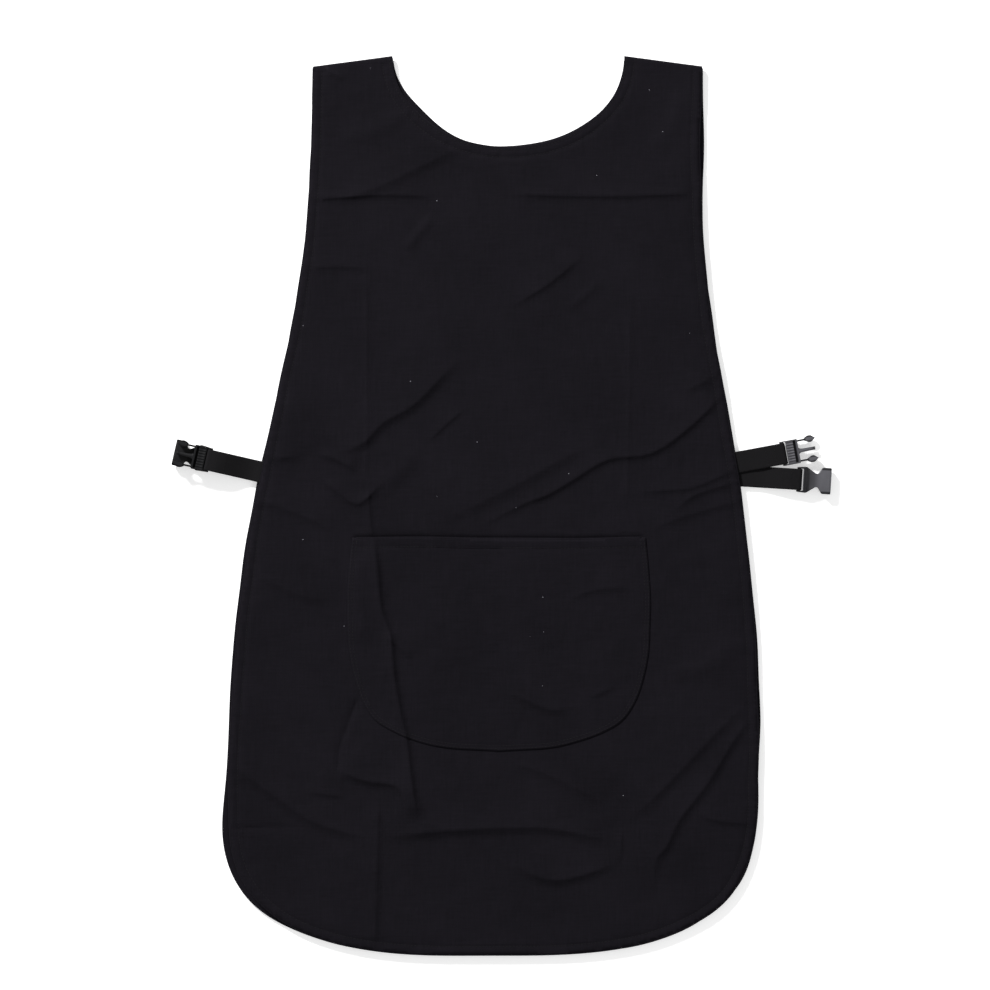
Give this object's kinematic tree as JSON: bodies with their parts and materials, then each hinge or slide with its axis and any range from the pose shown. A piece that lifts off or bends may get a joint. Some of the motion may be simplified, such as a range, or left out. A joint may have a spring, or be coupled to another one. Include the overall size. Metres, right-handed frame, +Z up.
{
  "type": "tabard apron",
  "caption": "Two-sided artist's smock apron, laid flat: two panels joined at the shoulders, a round-bottomed front pocket and side straps that end in side-release buckles.",
  "frame": {"origin": "under the middle of the whole apron's box, on the surface it lies on", "axes": "+Z up through the cloth, +Y towards the neck, +X to the right as seen from above with the pocket up"},
  "size_m": [0.6205, 0.844, 0.0135],
  "materials": {
    "cloth": "plain-woven poly-cotton, near black, matt",
    "webbing": "ribbed polypropylene webbing, black, slight sheen",
    "acetal": "moulded, satin, near black"
  },
  "bodies": {
    "back": {"back_panel": "cloth", "back_hem": "cloth", "back_neck_facing": "cloth", "left_shoulder_seam": "cloth", "right_shoulder_seam": "cloth", "left_back_strap_end": "webbing", "right_back_strap_end": "webbing"},
    "front": {"front_panel": "cloth", "front_hem": "cloth", "front_neck_facing": "cloth", "pocket": "cloth", "pocket_hem": "cloth", "left_front_strap_end": "webbing", "right_front_strap_end": "webbing"},
    "left_front_strap": {"left_front_strap": "webbing"},
    "right_front_strap": {"right_front_strap": "webbing"},
    "left_back_strap": {"left_back_strap": "webbing"},
    "right_back_strap": {"right_back_strap": "webbing"},
    "left_clip": {"left_clip_frame": "acetal"},
    "left_clip_upper_arm": {"left_clip_upper_arm": "acetal"},
    "left_clip_lower_arm": {"left_clip_lower_arm": "acetal"},
    "left_socket": {"left_socket": "acetal"},
    "right_clip": {"right_clip_frame": "acetal"},
    "right_clip_upper_arm": {"right_clip_upper_arm": "acetal"},
    "right_clip_lower_arm": {"right_clip_lower_arm": "acetal"},
    "right_socket": {"right_socket": "acetal"}
  },
  "joints": [
    {"name": "front_fold", "type": "hinge", "parent": "back", "child": "front", "pos_m": [0.006, 0.42, 0.006], "axis": [-1, 0, 0], "range_deg": [0, 180]},
    {"name": "left_front_strap_fold", "type": "hinge", "parent": "front", "child": "left_front_strap", "pos_m": [-0.22686, 0.03055, 0.0052], "axis": [0.225, 0.9744, 0], "range_deg": [0, 165]},
    {"name": "right_front_strap_fold", "type": "hinge", "parent": "front", "child": "right_front_strap", "pos_m": [0.22046, 0.03952, 0.0052], "axis": [0.1822, -0.9833, 0], "range_deg": [0, 165]},
    {"name": "left_back_strap_fold", "type": "hinge", "parent": "back", "child": "left_back_strap", "pos_m": [-0.22686, 0.03055, -0.0003], "axis": [0.225, 0.9744, 0], "range_deg": [-165, 0]},
    {"name": "right_back_strap_fold", "type": "hinge", "parent": "back", "child": "right_back_strap", "pos_m": [0.2247, 0.02686, -0.0003], "axis": [-0.0611, -0.9981, 0], "range_deg": [-165, 0]},
    {"name": "left_clip_swing", "type": "hinge", "parent": "left_front_strap", "child": "left_clip", "pos_m": [-0.27519, 0.04171, 0.0104], "axis": [-0.225, -0.9744, 0], "range_deg": [-90, 0]},
    {"name": "right_clip_swing", "type": "hinge", "parent": "right_front_strap", "child": "right_clip", "pos_m": [0.26431, 0.04765, 0.0032], "axis": [-0.1822, 0.9833, 0], "range_deg": [-90, 60]},
    {"name": "left_socket_swing", "type": "hinge", "parent": "left_back_strap", "child": "left_socket", "pos_m": [-0.2785, 0.04247, 0.0041], "axis": [-0.225, -0.9744, 0], "range_deg": [0, 90]},
    {"name": "right_socket_swing", "type": "hinge", "parent": "right_back_strap", "child": "right_socket", "pos_m": [0.279, 0.02354, 0.0041], "axis": [0.0611, 0.9981, 0], "range_deg": [-90, 90]},
    {"name": "left_clip_upper_squeeze", "type": "hinge", "parent": "left_clip", "child": "left_clip_upper_arm", "pos_m": [-0.28795, 0.05445, 0.0104], "axis": [0, 0, 1], "range_deg": [0, 10], "stiffness_Nm_per_rad": 0.3},
    {"name": "left_clip_lower_squeeze", "type": "hinge", "parent": "left_clip", "child": "left_clip_lower_arm", "pos_m": [-0.29225, 0.03584, 0.0104], "axis": [0, 0, -1], "range_deg": [0, 10], "stiffness_Nm_per_rad": 0.3},
    {"name": "right_clip_upper_squeeze", "type": "hinge", "parent": "right_clip", "child": "right_clip_upper_arm", "pos_m": [0.27761, 0.05983, 0.0032], "axis": [0, 0, -1], "range_deg": [0, 10], "stiffness_Nm_per_rad": 0.3},
    {"name": "right_clip_lower_squeeze", "type": "hinge", "parent": "right_clip", "child": "right_clip_lower_arm", "pos_m": [0.28109, 0.04104, 0.0032], "axis": [0, 0, 1], "range_deg": [0, 10], "stiffness_Nm_per_rad": 0.3}
  ]
}
